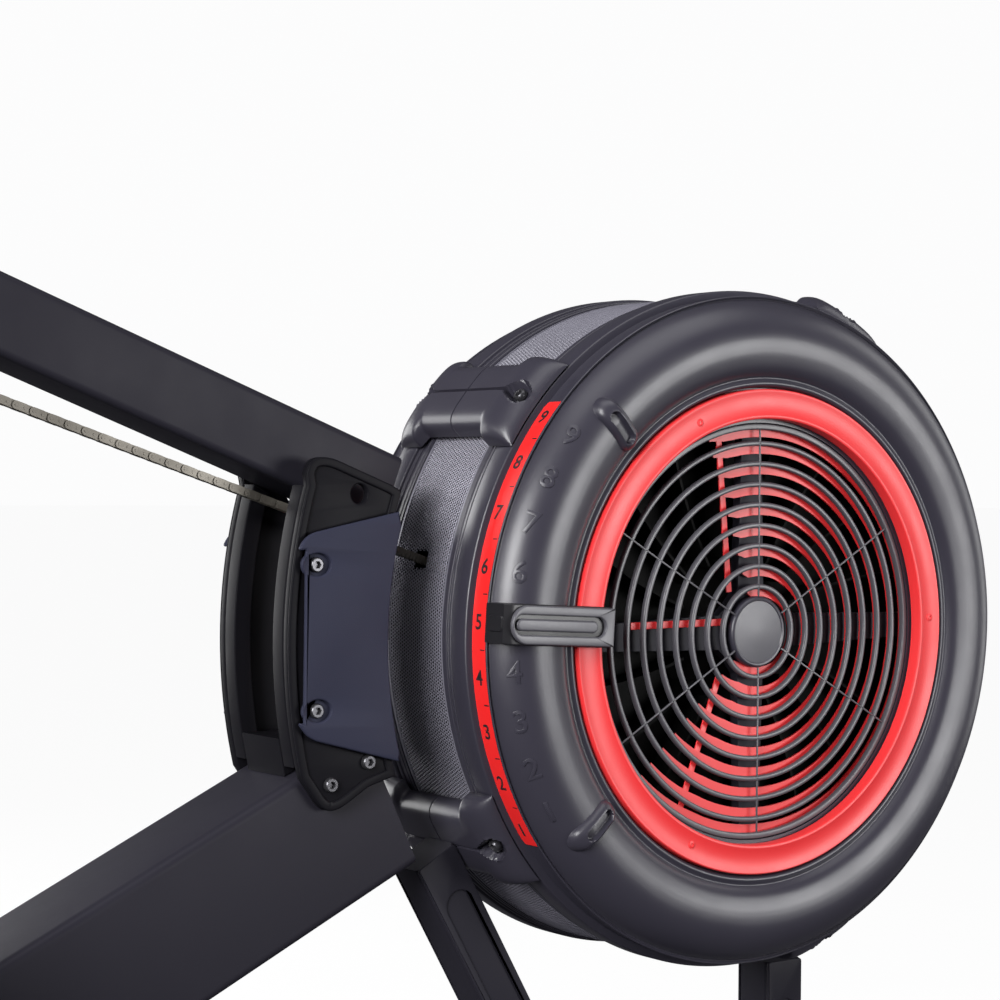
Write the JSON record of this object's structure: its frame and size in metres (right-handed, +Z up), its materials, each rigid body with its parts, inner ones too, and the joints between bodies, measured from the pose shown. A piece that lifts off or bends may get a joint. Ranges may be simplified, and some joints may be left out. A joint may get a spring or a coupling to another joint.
{
  "type": "rowing machine",
  "caption": "Air rowing machine with a caged fan and damper dial, chain-drawn handle, sliding seat on a rail, adjustable footrests and a tilting console.",
  "frame": {"origin": "on the floor under the middle of the machine's box", "axes": "+X from the seat to the fan, +Z up, -Y the damper dial's side"},
  "size_m": [2.4178, 0.58, 1.2513],
  "materials": {
    "casing_plastic": "fine satin moulded plastic",
    "band_metal": "perforated sheet, satin grey",
    "strip_red": "printed label strip, satin",
    "grille_plastic": "satin, paler worn edges",
    "frame_paint": "satin black powder coat",
    "bright_steel": "ground steel",
    "trim_plastic": "fine texture",
    "cord_rubber": "braided cord cover",
    "neck_paint": "satin black powder coat",
    "cover_plastic": "fine blue-grey texture",
    "rail_aluminium": "satin anodised",
    "strap_webbing": "woven nylon",
    "damper_red": "satin red moulded plastic",
    "lever_plastic": "satin, pale on top",
    "fan_metal": "dull sheet",
    "chain_steel": "nickel plated, oiled",
    "grip_rubber": "ribbed grip",
    "seat_foam": "grained polyurethane foam skin",
    "roller_plastic": "smooth",
    "screen_glass": "polished window",
    "button_rubber": "soft touch"
  },
  "bodies": {
    "frame": {"fan_housing_right": "casing_plastic", "fan_housing_left": "casing_plastic", "perforated_band": "band_metal", "housing_clamp_1": "casing_plastic", "housing_clamp_2": "casing_plastic", "housing_clamp_3": "casing_plastic", "housing_clamp_4": "casing_plastic", "housing_clamp_5": "casing_plastic", "scale_strip": "strip_red", "fan_grille": "grille_plastic", "bearing_spider": "frame_paint", "bearing_right": "bright_steel", "bearing_left": "bright_steel", "handle_hook": "trim_plastic", "return_cord": "cord_rubber", "main_beam": "frame_paint", "neck_plate_right": "neck_paint", "neck_plate_left": "neck_paint", "neck_block": "neck_paint", "side_cover_right": "cover_plastic", "side_cover_left": "cover_plastic", "monitor_arm": "frame_paint", "console_bracket": "trim_plastic", "rear_strut": "frame_paint", "front_strut": "frame_paint", "front_foot": "frame_paint", "seat_rail": "rail_aluminium", "rail_end_cap": "trim_plastic", "rear_leg": "frame_paint", "rear_foot": "frame_paint", "foot_plate_right": "trim_plastic", "foot_plate_left": "trim_plastic", "foot_strap_right": "strap_webbing", "foot_strap_left": "strap_webbing", "footrest_bracket": "frame_paint"},
    "damper": {"damper_ring": "damper_red", "damper_lever": "lever_plastic", "damper_shutter": "damper_red"},
    "fan": {"fan_wheel": "fan_metal", "fan_axle": "bright_steel"},
    "sprocket": {"chain_sprocket": "bright_steel"},
    "chain_swing": {"chain_lead": "chain_steel"},
    "handle": {"pull_chain": "chain_steel", "handle_yoke": "bright_steel", "handle_bar": "frame_paint", "handle_grip_right": "grip_rubber", "handle_grip_left": "grip_rubber"},
    "pulley": {"return_pulley": "trim_plastic"},
    "seat": {"seat_carriage": "frame_paint", "seat_pad": "seat_foam"},
    "roller_front": {"seat_roller_front": "roller_plastic"},
    "roller_rear": {"seat_roller_rear": "roller_plastic"},
    "console": {"console_housing": "trim_plastic", "console_screen": "screen_glass"},
    "button_1": {"console_button_1": "button_rubber"},
    "button_2": {"console_button_2": "button_rubber"},
    "wheel_right": {"transport_wheel_right": "roller_plastic"},
    "wheel_left": {"transport_wheel_left": "roller_plastic"},
    "heel_right": {"heel_cup_right": "trim_plastic"},
    "heel_left": {"heel_cup_left": "trim_plastic"}
  },
  "joints": [
    {"name": "fan_spin", "type": "hinge", "parent": "frame", "child": "fan", "pos_m": [0.9375, 0, 0.64], "axis": [0, 1, 0], "continuous": true},
    {"name": "damper_turn", "type": "hinge", "parent": "frame", "child": "damper", "pos_m": [0.9375, 0, 0.64], "axis": [0, 1, 0], "range_deg": [-34, 34]},
    {"name": "chain_lower", "type": "hinge", "parent": "frame", "child": "chain_swing", "pos_m": [0.9375, 0, 0.64], "axis": [0, -1, 0], "range_deg": [0, 18.5]},
    {"name": "handle_pull", "type": "slide", "parent": "chain_swing", "child": "handle", "axis": [-0.9486, 0, 0.3165], "range_m": [0, 1.2], "stiffness_N_per_m": 20, "springref_m": -0.8},
    {"name": "sprocket_spin", "type": "hinge", "parent": "frame", "child": "sprocket", "pos_m": [0.9375, 0, 0.64], "axis": [0, 1, 0], "range_deg": [0, 2830]},
    {"name": "pulley_spin", "type": "hinge", "parent": "frame", "child": "pulley", "pos_m": [0.60663, 0, 0.51455], "axis": [0, 1, 0], "range_deg": [0, 2650]},
    {"name": "seat_slide", "type": "slide", "parent": "frame", "child": "seat", "axis": [-1, 0, 0], "range_m": [-0.08, 0.95]},
    {"name": "front_roller_spin", "type": "hinge", "parent": "seat", "child": "roller_front", "pos_m": [-0.0675, 0, 0.4039], "axis": [0, 1, 0], "range_deg": [-4040, 345]},
    {"name": "rear_roller_spin", "type": "hinge", "parent": "seat", "child": "roller_rear", "pos_m": [-0.1775, 0, 0.4039], "axis": [0, 1, 0], "range_deg": [-4040, 345]},
    {"name": "console_tilt", "type": "hinge", "parent": "frame", "child": "console", "pos_m": [0.05563, 0, 1.0534], "axis": [0, 1, 0], "range_deg": [-20, 20]},
    {"name": "button_1_press", "type": "slide", "parent": "console", "child": "button_1", "axis": [0.9063, 0, -0.4226], "range_m": [0, 0.0015], "stiffness_N_per_m": 400, "springref_m": -0.0005},
    {"name": "button_2_press", "type": "slide", "parent": "console", "child": "button_2", "axis": [0.9063, 0, -0.4226], "range_m": [0, 0.0015], "stiffness_N_per_m": 400, "springref_m": -0.0005},
    {"name": "wheel_right_spin", "type": "hinge", "parent": "frame", "child": "wheel_right", "pos_m": [1.0955, -0.2, 0.038], "axis": [0, 1, 0], "continuous": true},
    {"name": "heel_right_slide", "type": "slide", "parent": "frame", "child": "heel_right", "axis": [-0.7071, 0, -0.7071], "range_m": [-0.05, 0.006]},
    {"name": "wheel_left_spin", "type": "hinge", "parent": "frame", "child": "wheel_left", "pos_m": [1.0955, 0.2, 0.038], "axis": [0, 1, 0], "continuous": true},
    {"name": "heel_left_slide", "type": "slide", "parent": "frame", "child": "heel_left", "axis": [-0.7071, 0, -0.7071], "range_m": [-0.05, 0.006]}
  ],
  "couplings": [
    {"joint": "sprocket_spin", "follows": "handle_pull", "rad_per_m": 41.111},
    {"joint": "pulley_spin", "follows": "handle_pull", "rad_per_m": 38.462},
    {"joint": "front_roller_spin", "follows": "seat_slide", "rad_per_m": -74.074},
    {"joint": "rear_roller_spin", "follows": "seat_slide", "rad_per_m": -74.074}
  ]
}
